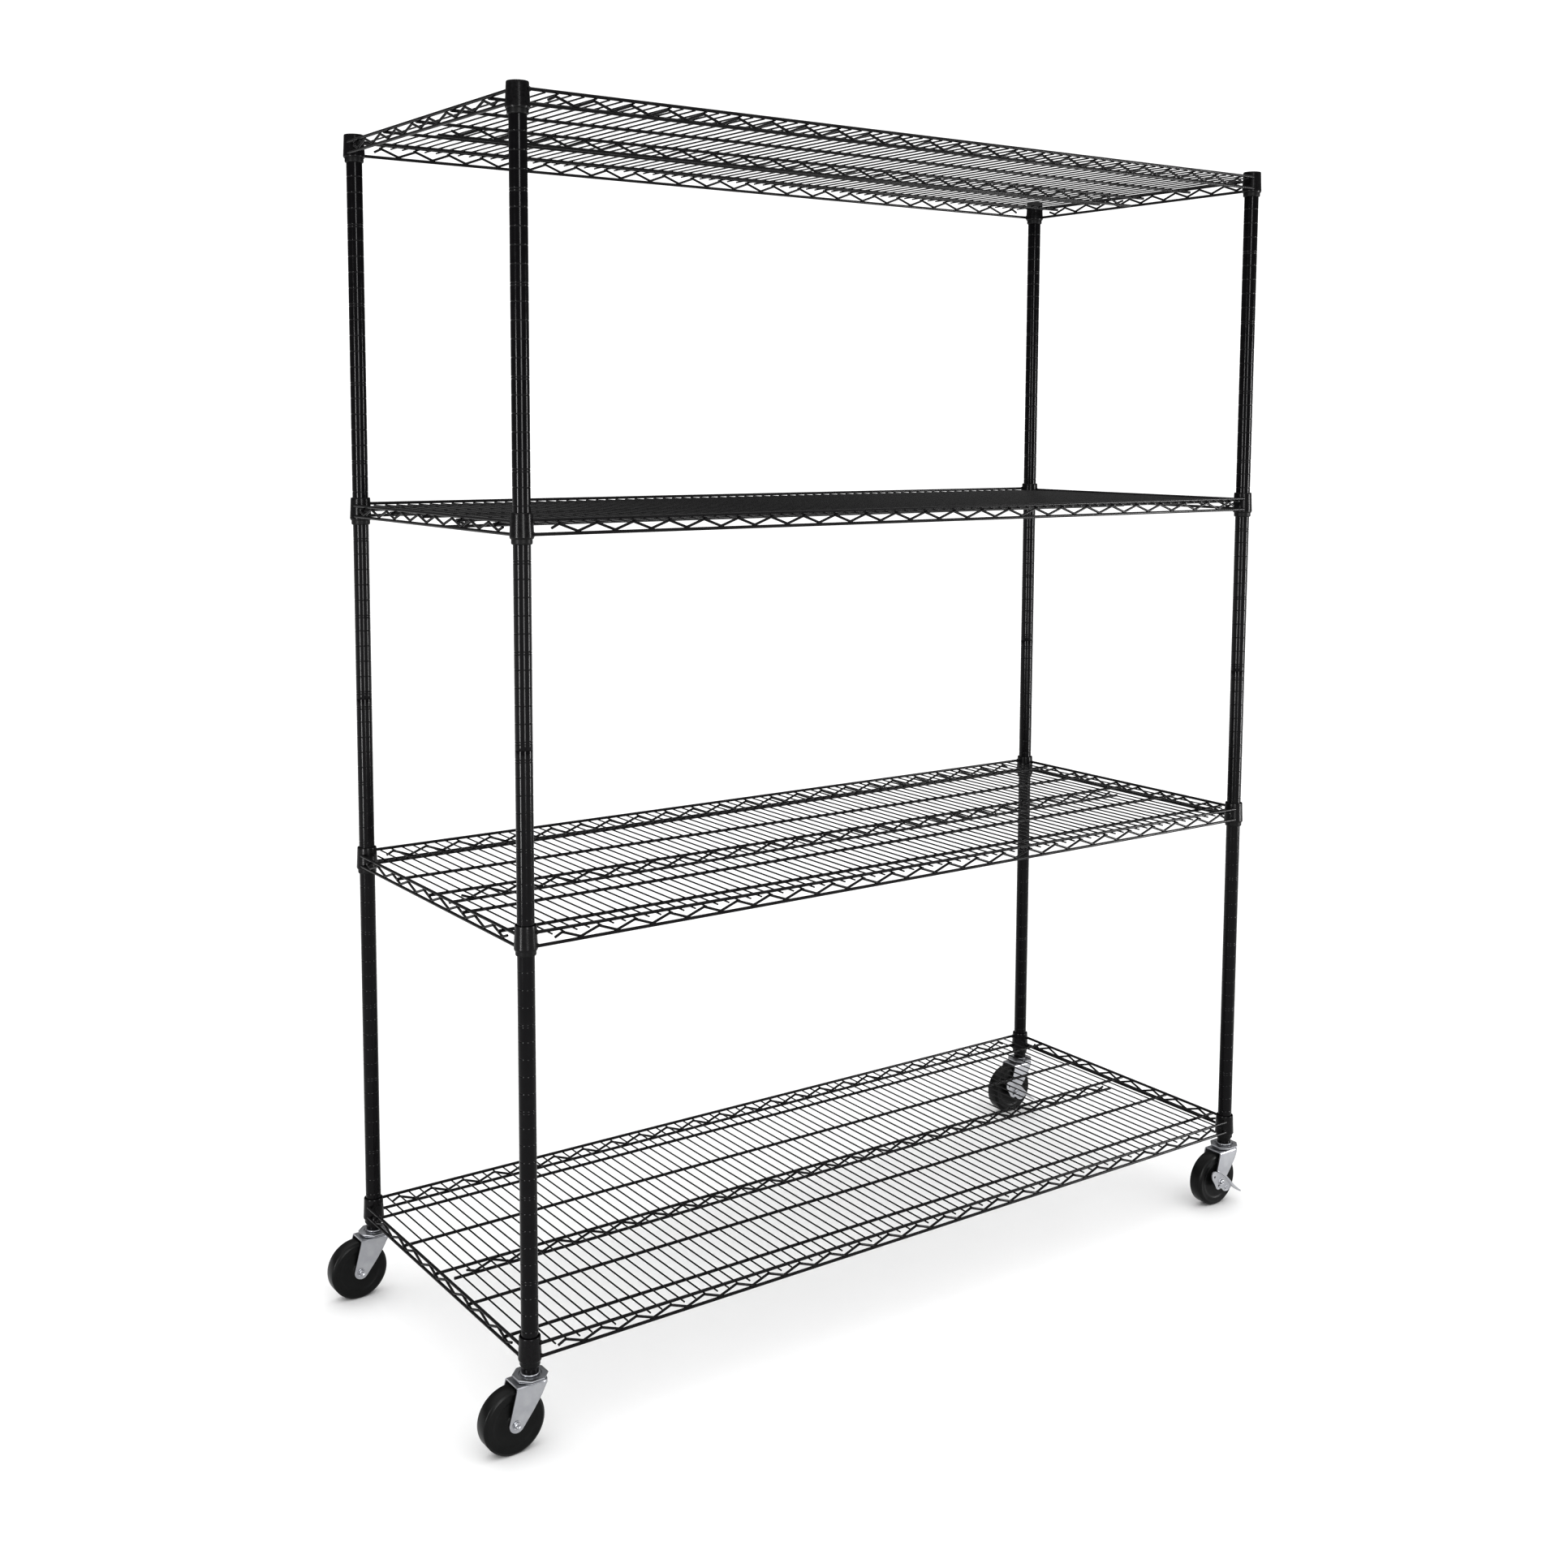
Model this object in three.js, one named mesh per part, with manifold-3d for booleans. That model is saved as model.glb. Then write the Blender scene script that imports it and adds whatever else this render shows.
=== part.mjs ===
// Wire shelving rack: four screw-together posts, four welded wire shelves held on tapered
// split sleeves, and four swivel casters, two of them with a side brake lever.
// Units are millimetres, +Z is up, +X runs along the long side. The origin is on the floor,
// at the centre of the rack's footprint, casters included.

import * as THREE from 'three';
import { mergeVertices } from 'three/addons/utils/BufferGeometryUtils.js';
import Module from 'manifold-3d';

const wasm = await Module();
wasm.setup();

// ---- Driving dimensions ----

const INCH = 25.4;

const POST_SPACING_X = 1490;
const POST_SPACING_Y = 576;
const POST_RADIUS = 12.7;
const POST_WALL = 1.2;
const POST_HALF_LENGTH = 36 * INCH;
const POST_SIDES = 12;
const INSERT_LENGTH = 15;
const INSERT_BORE_RADIUS = 5.4;
const STUD_RADIUS = 4.9;

const FIT_GAP = 0.3;

const SHELF_GROOVES = [1.5, 25.5, 48.5, 71.5];
const SHELF_SEAT_DROP = 1;

const COLLAR_TOP = 17;
const COLLAR_BOTTOM = -20;
const COLLAR_TOP_RADIUS = 16.2;
const COLLAR_FOOT_RADIUS = 17.4;

const SLEEVE_TOP = 11;
const SLEEVE_BOTTOM = -26.5;
const SLEEVE_TOP_RADIUS = 14.2;
const SLEEVE_FOOT_RADIUS = 15.1;
const SLEEVE_CHAMFER = 1.5;
const SLEEVE_SLIT = 1;

const RAIL_SIDE = 4.4;
const RAIL_OFFSET = 12.1;
const RAIL_END = 12;
const LONG_SIDE_RAIL_Z = 6.8;
const SHORT_SIDE_RAIL_Z = 5.1;
const BOTTOM_RAIL_Z = -13.6;

const TRUSS_WIRE_SIDE = 3.5;
const TRUSS_TOP_Z = 0.1;
const TRUSS_BOTTOM_Z = -9.2;
const TRUSS_ROOT_Z = -12.5;
const TRUSS_PERIODS_X = 23;
const TRUSS_PERIODS_Y = 8;
const TRUSS_FIRST_TOP = 51.8;

const LONG_WIRE_COUNT = 5;
const LONG_WIRE_FIRST = 47.4;
const LONG_WIRE_REACH = 20.5;
const LONG_WIRE_Z = 0.4;
const LONG_WIRE_DROP = 0.6;
const MIDDLE_BOTTOM_WIRE_Z = -14.6;
const MIDDLE_BOTTOM_WIRE_INSET = 15.4;
const MIDDLE_TRUSS_TOP_Z = -4;
const MIDDLE_TRUSS_BOTTOM_Z = -10.2;
const CROSS_BAR_WIDTH = 4;
const CROSS_BAR_REACH = 19.5;
const CROSS_BAR_TOP = 4.3;
const CROSS_BAR_THICKNESS = 1.9;
const END_BAR_THICKNESS = 2.8;
const END_BAR_INSET = 11.6;
const END_BAR_SETBACK = 18;

const CASTER_HEIGHT = 113;
const CASTER_TRAIL = 31.5;
const WHEEL_RADIUS = 49;
const WHEEL_HALF_WIDTH = 14.5;
const WHEEL_TREAD_HALF_WIDTH = 11;
const WHEEL_BEVEL = 2.8;
const WHEEL_BORE_RADIUS = 4.5;
const WHEEL_SIDES = 20;
const AXLE_RADIUS = 4;
const AXLE_HEAD_RADIUS = 6.2;
const AXLE_HEAD_LENGTH = 3;

const STEM_SIDES = 8;
const WASHER_RADIUS = 14.5;
const WASHER_BOTTOM = -3;
const PLATE_RADIUS = 27;
const PLATE_TOP = -3.3;
const PLATE_BOTTOM = -5.5;
const RACE_RADIUS = 23.5;
const RACE_TOP = -6.2;
const KINGPIN_RADIUS = 5;
const KINGPIN_HOLE_RADIUS = 5.7;
const KINGPIN_HEAD_RADIUS = 9;
const KINGPIN_HEAD_LENGTH = 3.2;

const FORK_TOP = -9.7;
const FORK_SHEET = 2.3;
const FORK_HALF_WIDTH = 20;
const FORK_TAIL = -30;
const FORK_NOSE = 23.5;
const FORK_CORNER_RADIUS = 14;
const FORK_EYE_RADIUS = 12;
const FORK_EYE_HOLE_RADIUS = 4.6;

const LEVER_INNER = 21;
const LEVER_OUTER = 26;
const LEVER_SHEET = 2;
const LEVER_HOLE_RADIUS = 4.7;

// ---- Derived dimensions ----

const HALF_X = POST_SPACING_X / 2;
const HALF_Y = POST_SPACING_Y / 2;
const AXLE_Z = WHEEL_RADIUS - CASTER_HEIGHT;
const WHEEL_CORNER_RADIUS = WHEEL_RADIUS / Math.cos(Math.PI / WHEEL_SIDES);
const TRUSS_PERIOD_X = (POST_SPACING_X - 2 * TRUSS_FIRST_TOP) / TRUSS_PERIODS_X;
const LONG_WIRE_PITCH = (POST_SPACING_Y - 2 * LONG_WIRE_FIRST) / (LONG_WIRE_COUNT - 1);
const FORK_BOTTOM_OF_PLATE = FORK_TOP - FORK_SHEET;
const BRAKE_AXLE_REACH = LEVER_OUTER + FIT_GAP;
const PLAIN_AXLE_REACH = FORK_HALF_WIDTH + FIT_GAP;
const PLATE_FLAT_RADIUS = PLATE_RADIUS * Math.cos(Math.PI / 8);
const FOOTPRINT_SHIFT_X = (CASTER_TRAIL + WHEEL_RADIUS - PLATE_FLAT_RADIUS) / 2;
const FOOTPRINT_SHIFT_Y = (BRAKE_AXLE_REACH - PLAIN_AXLE_REACH) / 2;

// ---- Materials ----

const finishes = {
  post: { color: 0x141316, roughness: 0.22, metalness: 0.5 },
  wire: { color: 0x232224, roughness: 0.4, metalness: 0.45 },
  sleeve: { color: 0x1a1a1c, roughness: 0.5, metalness: 0 },
  cap: { color: 0x17171a, roughness: 0.45, metalness: 0 },
  zinc: { color: 0xb4b6bf, roughness: 0.32, metalness: 0.9 },
  rubber: { color: 0x1b1c1d, roughness: 0.55, metalness: 0 },
};

/** A named mesh with a material of its own. */
function piece(name, geometry, finish) {
  const mesh = new THREE.Mesh(geometry, new THREE.MeshStandardMaterial(finishes[finish]));
  mesh.name = name;
  return mesh;
}

// ---- Solid helpers ----

/** Turns a closed geometry into a solid that can be joined and cut. */
function solid(geometry) {
  const bare = geometry.clone();
  bare.deleteAttribute('normal');
  bare.deleteAttribute('uv');
  const merged = mergeVertices(bare, 1e-4);
  const corners = Array.from(merged.index.array);
  const triangles = [];
  for (let i = 0; i < corners.length; i += 3) {
    const [a, b, c] = corners.slice(i, i + 3);
    if (a !== b && b !== c && c !== a) {
      triangles.push(a, b, c);
    }
  }
  return new wasm.Manifold(new wasm.Mesh({
    numProp: 3,
    vertProperties: Float32Array.from(merged.attributes.position.array),
    triVerts: Uint32Array.from(triangles),
  }));
}

/** Turns a solid back into a geometry. */
function geometryOf(shape) {
  const mesh = shape.getMesh();
  const geometry = new THREE.BufferGeometry();
  geometry.setAttribute('position', new THREE.BufferAttribute(mesh.vertProperties, 3));
  geometry.setIndex(new THREE.BufferAttribute(mesh.triVerts, 1));
  geometry.computeVertexNormals();
  return geometry;
}

/** Joins geometries into one solid. */
function joined(geometries) {
  return geometries.map(solid).reduce((whole, next) => whole.add(next));
}

/** A body of revolution about Z. The [radius, z] outline runs counter-clockwise. */
function turned(outline, sides) {
  const points = outline.map(([radius, z]) => new THREE.Vector2(radius, z));
  return new THREE.LatheGeometry(points, sides).rotateX(Math.PI / 2);
}

/** A ring about Z whose outline closes on itself. */
function turnedRing(outline, sides) {
  return turned([...outline, outline[0]], sides);
}

/** A box given by its low and high corners. */
function block(low, high) {
  const size = high.map((value, i) => value - low[i]);
  const middle = high.map((value, i) => (value + low[i]) / 2);
  return new THREE.BoxGeometry(...size).translate(...middle);
}

/** A plate with an outline in the XZ plane, from y = near to y = far. */
function uprightPlate(shape, near, far) {
  const options = { depth: far - near, bevelEnabled: false, curveSegments: 4 };
  return new THREE.ExtrudeGeometry(shape, options).rotateX(Math.PI / 2).translate(0, far, 0);
}

/** A plate with an outline in the XY plane, from z = bottom to z = top. */
function levelPlate(shape, bottom, top) {
  const options = { depth: top - bottom, bevelEnabled: false, curveSegments: 4 };
  return new THREE.ExtrudeGeometry(shape, options).translate(0, 0, bottom);
}

/** A closed shape through [x, y] points. */
function outlineOf(points) {
  return new THREE.Shape(points.map(([x, y]) => new THREE.Vector2(x, y)));
}

/** The corners of a regular polygon. */
function polygonPoints(sides, radius, turn = 0) {
  return Array.from({ length: sides }, (_, i) => {
    const angle = turn + (2 * Math.PI * i) / sides;
    return [radius * Math.cos(angle), radius * Math.sin(angle)];
  });
}

/** A square wire bent in the XZ plane through [x, z] points, with mitred bends. */
function bentWire(points, side) {
  const path = points.map(([x, z]) => new THREE.Vector2(x, z));
  const normals = path.slice(1).map((point, i) => {
    const along = point.clone().sub(path[i]).normalize();
    return new THREE.Vector2(-along.y, along.x);
  });
  const offsets = path.map((_, i) => {
    const before = normals[Math.max(i - 1, 0)];
    const after = normals[Math.min(i, normals.length - 1)];
    const middle = before.clone().add(after).normalize();
    return middle.multiplyScalar(side / 2 / middle.dot(before));
  });
  const upper = path.map((point, i) => point.clone().add(offsets[i]));
  const lower = path.map((point, i) => point.clone().sub(offsets[i]));
  return uprightPlate(new THREE.Shape([...lower, ...upper.reverse()]), -side / 2, side / 2);
}

// ---- Posts ----

/** The lower tube half, with a threaded insert in each end. Its foot is at z = 0. */
function lowerPost() {
  const bore = INSERT_BORE_RADIUS;
  const inside = POST_RADIUS - POST_WALL;
  const top = POST_HALF_LENGTH;
  return turnedRing([
    [bore, 0], [POST_RADIUS, 0], [POST_RADIUS, top], [bore, top],
    [bore, top - INSERT_LENGTH], [inside, top - INSERT_LENGTH],
    [inside, INSERT_LENGTH], [bore, INSERT_LENGTH],
  ], POST_SIDES);
}

/** The upper tube half, with the threaded stud that screws into the lower one. */
function upperPost() {
  const inside = POST_RADIUS - POST_WALL;
  return turned([
    [0, 1 - INSERT_LENGTH], [STUD_RADIUS, 1 - INSERT_LENGTH], [STUD_RADIUS, 0],
    [POST_RADIUS, 0], [POST_RADIUS, POST_HALF_LENGTH - FIT_GAP],
    [inside, POST_HALF_LENGTH - FIT_GAP], [inside, INSERT_LENGTH], [0, INSERT_LENGTH],
  ], POST_SIDES);
}

/** The cap that plugs the top of a post; its rim rests on the tube at z = 0. */
function postCap() {
  const plug = POST_RADIUS - POST_WALL - FIT_GAP;
  return turned([
    [0, -10], [plug, -10], [plug, FIT_GAP], [POST_RADIUS, FIT_GAP],
    [POST_RADIUS, 1.8], [POST_RADIUS - 1, 2.6], [0, 2.6],
  ], POST_SIDES);
}

// ---- Shelves ----

/** The outer radius of a sleeve's taper at a height. */
function sleeveRadiusAt(z) {
  const along = (SLEEVE_TOP - z) / (SLEEVE_TOP - SLEEVE_BOTTOM - SLEEVE_CHAMFER);
  return SLEEVE_TOP_RADIUS + (SLEEVE_FOOT_RADIUS - SLEEVE_TOP_RADIUS) * along;
}

/** The tapered sleeve round the post, slit so that it can close on it. */
function splitSleeve() {
  const bore = POST_RADIUS + FIT_GAP;
  const ring = turnedRing([
    [bore, SLEEVE_BOTTOM], [SLEEVE_FOOT_RADIUS, SLEEVE_BOTTOM + SLEEVE_CHAMFER],
    [SLEEVE_TOP_RADIUS, SLEEVE_TOP], [bore, SLEEVE_TOP],
  ], POST_SIDES);
  const half = SLEEVE_SLIT / 2;
  const slit = block([0, -half, SLEEVE_BOTTOM - 1], [SLEEVE_FOOT_RADIUS + 1, half, SLEEVE_TOP + 1]);
  slit.rotateZ(Math.PI / POST_SIDES);
  return geometryOf(solid(ring).subtract(solid(slit)));
}

/** The tapered corner collar that drops over the sleeve. */
function collar(x, y) {
  return turnedRing([
    [sleeveRadiusAt(COLLAR_BOTTOM) + FIT_GAP, COLLAR_BOTTOM], [COLLAR_FOOT_RADIUS - 1, COLLAR_BOTTOM],
    [COLLAR_FOOT_RADIUS, COLLAR_BOTTOM + 3], [COLLAR_TOP_RADIUS, COLLAR_TOP],
    [sleeveRadiusAt(COLLAR_TOP) + FIT_GAP, COLLAR_TOP],
  ], POST_SIDES).translate(x, y, 0);
}

/** A rail along X, on the outside of the collars of one long side. */
function longSideRail(y, z) {
  const half = RAIL_SIDE / 2;
  const reach = HALF_X - RAIL_END;
  return block([-reach, y - half, z - half], [reach, y + half, z + half]);
}

/** A rail along Y, on the outside of the collars of one short side. */
function shortSideRail(x, z) {
  const half = RAIL_SIDE / 2;
  const reach = HALF_Y - RAIL_END;
  return block([x - half, -reach, z - half], [x + half, reach, z + half]);
}

/** Zigzag points from a first top, ending on legs that run down into the bottom rail. */
function longSideTrussPoints() {
  const first = TRUSS_FIRST_TOP - HALF_X;
  const points = [[first - 17, TRUSS_ROOT_Z]];
  for (let i = 0; i < TRUSS_PERIODS_X; i += 1) {
    points.push([first + i * TRUSS_PERIOD_X, TRUSS_TOP_Z]);
    points.push([first + (i + 0.5) * TRUSS_PERIOD_X, TRUSS_BOTTOM_Z]);
  }
  points.push([-first, TRUSS_TOP_Z], [17 - first, TRUSS_ROOT_Z]);
  return points;
}

/** Zigzag points of a short side, with its end bends sunk into the bottom rail. */
function shortSideTrussPoints() {
  const start = (-TRUSS_PERIODS_Y * TRUSS_PERIOD_X) / 2;
  const points = [];
  for (let i = 0; i < TRUSS_PERIODS_Y; i += 1) {
    points.push([start + i * TRUSS_PERIOD_X, i === 0 ? TRUSS_ROOT_Z : TRUSS_BOTTOM_Z]);
    points.push([start + (i + 0.5) * TRUSS_PERIOD_X, TRUSS_TOP_Z]);
  }
  points.push([-start, TRUSS_ROOT_Z]);
  return points;
}

/** Zigzag points under the middle long wire, tied to both wires at its two ends. */
function middleTrussPoints() {
  const first = TRUSS_FIRST_TOP - HALF_X;
  const points = [[first - 17, LONG_WIRE_Z], [first, MIDDLE_BOTTOM_WIRE_Z]];
  for (let i = 0; i < TRUSS_PERIODS_X - 1; i += 1) {
    points.push([first + (i + 0.5) * TRUSS_PERIOD_X, MIDDLE_TRUSS_TOP_Z]);
    points.push([first + (i + 1) * TRUSS_PERIOD_X, MIDDLE_TRUSS_BOTTOM_Z]);
  }
  points.push([-first - TRUSS_PERIOD_X / 2, MIDDLE_TRUSS_TOP_Z]);
  points.push([-first, MIDDLE_BOTTOM_WIRE_Z], [17 - first, LONG_WIRE_Z]);
  return points;
}

/** The welded perimeter: four collars, eight rails and four zigzag wires. */
function shelfFrame() {
  const parts = [];
  for (const sideX of [-1, 1]) {
    const x = sideX * (HALF_X + RAIL_OFFSET);
    parts.push(shortSideRail(x, SHORT_SIDE_RAIL_Z), shortSideRail(x, BOTTOM_RAIL_Z));
    parts.push(bentWire(shortSideTrussPoints(), TRUSS_WIRE_SIDE).rotateZ(Math.PI / 2).translate(x, 0, 0));
    for (const sideY of [-1, 1]) {
      parts.push(collar(sideX * HALF_X, sideY * HALF_Y));
    }
  }
  for (const sideY of [-1, 1]) {
    const y = sideY * (HALF_Y + RAIL_OFFSET);
    parts.push(longSideRail(y, LONG_SIDE_RAIL_Z), longSideRail(y, BOTTOM_RAIL_Z));
    parts.push(bentWire(longSideTrussPoints(), TRUSS_WIRE_SIDE).translate(0, y, 0));
  }
  return geometryOf(joined(parts));
}

/** A bar across the deck at x, its top level with all the others. */
function crossBar(x, reach, thickness) {
  const half = CROSS_BAR_WIDTH / 2;
  return block([x - half, -reach, CROSS_BAR_TOP - thickness], [x + half, reach, CROSS_BAR_TOP]);
}

/** The deck mat: long wires, the cross bars welded on them, and the middle truss. */
function shelfDeck() {
  const half = RAIL_SIDE / 2;
  const reach = HALF_X + LONG_WIRE_REACH;
  const bottomReach = HALF_X - MIDDLE_BOTTOM_WIRE_INSET;
  const parts = [];
  for (let i = 0; i < LONG_WIRE_COUNT; i += 1) {
    const y = LONG_WIRE_FIRST - HALF_Y + i * LONG_WIRE_PITCH;
    const isMiddle = i === (LONG_WIRE_COUNT - 1) / 2;
    const z = isMiddle ? LONG_WIRE_Z : LONG_WIRE_Z - LONG_WIRE_DROP;
    parts.push(block([-reach, y - half, z - half], [reach, y + half, z + half]));
  }
  parts.push(block(
    [-bottomReach, -half, MIDDLE_BOTTOM_WIRE_Z - half],
    [bottomReach, half, MIDDLE_BOTTOM_WIRE_Z + half],
  ));
  parts.push(bentWire(middleTrussPoints(), TRUSS_WIRE_SIDE));
  for (let i = 0; i <= TRUSS_PERIODS_X; i += 1) {
    const x = TRUSS_FIRST_TOP - HALF_X + i * TRUSS_PERIOD_X;
    parts.push(crossBar(x, HALF_Y + CROSS_BAR_REACH, CROSS_BAR_THICKNESS));
  }
  for (const side of [-1, 1]) {
    parts.push(crossBar(side * (HALF_X - END_BAR_INSET), HALF_Y - END_BAR_SETBACK, END_BAR_THICKNESS));
  }
  return geometryOf(joined(parts));
}

// ---- Casters: z = 0 is the foot of the post ----

/** The threaded stem, its washer flange, and the riveted kingpin that holds the fork. */
function casterStem() {
  const headTop = FORK_BOTTOM_OF_PLATE - FIT_GAP;
  return turned([
    [0, headTop - KINGPIN_HEAD_LENGTH], [KINGPIN_HEAD_RADIUS, headTop - KINGPIN_HEAD_LENGTH],
    [KINGPIN_HEAD_RADIUS, headTop], [KINGPIN_RADIUS, headTop], [KINGPIN_RADIUS, WASHER_BOTTOM],
    [WASHER_RADIUS, WASHER_BOTTOM], [WASHER_RADIUS, -FIT_GAP], [STUD_RADIUS, -FIT_GAP],
    [STUD_RADIUS, INSERT_LENGTH - 1], [0, INSERT_LENGTH - 1],
  ], STEM_SIDES);
}

/** The octagonal upper bearing plate. */
function bearingPlate() {
  const shape = outlineOf(polygonPoints(8, PLATE_RADIUS, Math.PI / 8));
  shape.holes.push(new THREE.Path(outlineOf(polygonPoints(8, KINGPIN_HOLE_RADIUS)).getPoints()));
  return levelPlate(shape, PLATE_BOTTOM, PLATE_TOP);
}

/** The fork seen from above, inset all round: straight sides and a nose with round corners. */
function forkPlan(inset, tail) {
  const shape = new THREE.Shape();
  const radius = FORK_CORNER_RADIUS - inset;
  const bendX = FORK_NOSE - FORK_CORNER_RADIUS;
  const bendY = FORK_HALF_WIDTH - FORK_CORNER_RADIUS;
  shape.moveTo(tail, inset - FORK_HALF_WIDTH);
  shape.lineTo(bendX, inset - FORK_HALF_WIDTH);
  shape.absarc(bendX, -bendY, radius, -Math.PI / 2, 0, false);
  shape.absarc(bendX, bendY, radius, 0, Math.PI / 2, false);
  shape.lineTo(tail, FORK_HALF_WIDTH - inset);
  shape.closePath();
  return shape;
}

/** The fork seen from the side: legs that taper down and back to the axle eye. */
function forkSide() {
  const shape = new THREE.Shape();
  const beyond = FORK_NOSE + 1;
  shape.moveTo(FORK_TAIL, FORK_TOP + 5);
  shape.lineTo(-CASTER_TRAIL - FORK_EYE_RADIUS, AXLE_Z + 2);
  shape.absarc(-CASTER_TRAIL, AXLE_Z, FORK_EYE_RADIUS, Math.PI, 2 * Math.PI - 0.65, false);
  shape.lineTo(6, -34);
  shape.lineTo(15, -20.5);
  shape.lineTo(beyond, -14.5);
  shape.lineTo(beyond, FORK_TOP + 5);
  shape.closePath();
  return shape;
}

/** The pressed fork with the ball race on top of it. */
function fork() {
  const low = AXLE_Z - FORK_EYE_RADIUS - 5;
  const outside = solid(levelPlate(forkPlan(0, FORK_TAIL - 20), low, FORK_TOP));
  const room = solid(levelPlate(forkPlan(FORK_SHEET, FORK_TAIL - 30), low - 5, FORK_BOTTOM_OF_PLATE));
  const side = solid(uprightPlate(forkSide(), -FORK_HALF_WIDTH - 5, FORK_HALF_WIDTH + 5));
  const race = solid(turnedRing([
    [KINGPIN_HOLE_RADIUS, FORK_TOP - 1], [RACE_RADIUS - 5, FORK_TOP - 1],
    [RACE_RADIUS, RACE_TOP], [KINGPIN_HOLE_RADIUS, RACE_TOP],
  ], 8).rotateZ(Math.PI / 8));
  const kingpinHole = solid(turned([
    [0, FORK_TOP - 20], [KINGPIN_HOLE_RADIUS, FORK_TOP - 20],
    [KINGPIN_HOLE_RADIUS, FORK_TOP + 1], [0, FORK_TOP + 1],
  ], 8).rotateZ(Math.PI / 8));
  const eyeHole = solid(new THREE.CylinderGeometry(
    FORK_EYE_HOLE_RADIUS, FORK_EYE_HOLE_RADIUS, 100, 8,
  ).translate(-CASTER_TRAIL, 0, AXLE_Z));
  const shell = outside.subtract(room).intersect(side);
  return geometryOf(shell.subtract(kingpinHole).add(race).subtract(eyeHole));
}

/** The wheel: a plain disc with bevelled tread edges, its axis along Y. */
function wheel() {
  const corner = WHEEL_CORNER_RADIUS;
  const outline = [
    [WHEEL_BORE_RADIUS, -WHEEL_HALF_WIDTH], [corner - WHEEL_BEVEL, -WHEEL_HALF_WIDTH],
    [corner, -WHEEL_TREAD_HALF_WIDTH], [corner, WHEEL_TREAD_HALF_WIDTH],
    [corner - WHEEL_BEVEL, WHEEL_HALF_WIDTH], [WHEEL_BORE_RADIUS, WHEEL_HALF_WIDTH],
  ];
  return turnedRing(outline, WHEEL_SIDES).rotateZ(Math.PI / WHEEL_SIDES).rotateX(Math.PI / 2);
}

/** The axle bolt with its head and nut. The near end reaches past a lever on braked casters. */
function axle(nearReach) {
  const farReach = PLAIN_AXLE_REACH;
  return turned([
    [0, -farReach - AXLE_HEAD_LENGTH], [AXLE_HEAD_RADIUS, -farReach - AXLE_HEAD_LENGTH],
    [AXLE_HEAD_RADIUS, -farReach], [AXLE_RADIUS, -farReach], [AXLE_RADIUS, nearReach],
    [AXLE_HEAD_RADIUS, nearReach], [AXLE_HEAD_RADIUS, nearReach + AXLE_HEAD_LENGTH],
    [0, nearReach + AXLE_HEAD_LENGTH],
  ], 8).rotateX(Math.PI / 2);
}

/** The pressed brake lever: an eared plate round the axle, with a lip that runs out as a pedal. */
function brakeLever() {
  const plate = outlineOf([
    [-27, 19], [-26, 9], [-20, 1], [-15, -5], [-11, -12], [-4, -14.5], [2, -14.5], [7, -20],
    [15, -22], [22, -19], [53, -32], [53, -29], [33, -15], [11, 7], [-10, 21], [-20, 24.5],
  ]);
  const hole = new THREE.Path(outlineOf(polygonPoints(8, LEVER_HOLE_RADIUS)).getPoints());
  plate.holes.push(hole);
  const lip = outlineOf([
    [-20, 22], [-11, 18.5], [9.5, 5], [31.5, -16.5], [51.5, -31.5], [52.8, -29.5], [33, -14.8],
    [11, 7.2], [-10, 21.2], [-20, 24.7],
  ]);
  return geometryOf(joined([
    uprightPlate(plate, -LEVER_OUTER, LEVER_SHEET - LEVER_OUTER),
    uprightPlate(lip, 0.5 - LEVER_OUTER, -LEVER_INNER),
  ]));
}

// ---- Assembly ----

const corners = [
  { name: 'front_left', x: -HALF_X, y: -HALF_Y, braked: false },
  { name: 'front_right', x: HALF_X, y: -HALF_Y, braked: true },
  { name: 'back_left', x: -HALF_X, y: HALF_Y, braked: false },
  { name: 'back_right', x: HALF_X, y: HALF_Y, braked: true },
];

const shelfHeights = SHELF_GROOVES.map((groove) => groove * INCH - SHELF_SEAT_DROP);

/** One post with its cap and the sleeves that carry the shelves. */
function postAssembly({ name, x, y }) {
  const group = new THREE.Group();
  group.position.set(x, y, 0);
  const lower = piece(`post_${name}_lower`, lowerPost(), 'post');
  const upper = piece(`post_${name}_upper`, upperPost(), 'post');
  upper.position.z = POST_HALF_LENGTH + FIT_GAP;
  const cap = piece(`post_${name}_cap`, postCap(), 'cap');
  cap.position.z = 2 * POST_HALF_LENGTH;
  group.add(lower, upper, cap);
  shelfHeights.forEach((height, level) => {
    const sleeve = piece(`sleeve_${name}_${level + 1}`, splitSleeve(), 'sleeve');
    sleeve.position.z = height;
    group.add(sleeve);
  });
  return group;
}

/** One shelf, as its welded frame and deck mat. */
function shelfAssembly(level) {
  const group = new THREE.Group();
  group.position.z = shelfHeights[level];
  group.add(piece(`shelf_${level + 1}_frame`, shelfFrame(), 'wire'));
  group.add(piece(`shelf_${level + 1}_deck`, shelfDeck(), 'wire'));
  return group;
}

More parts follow.
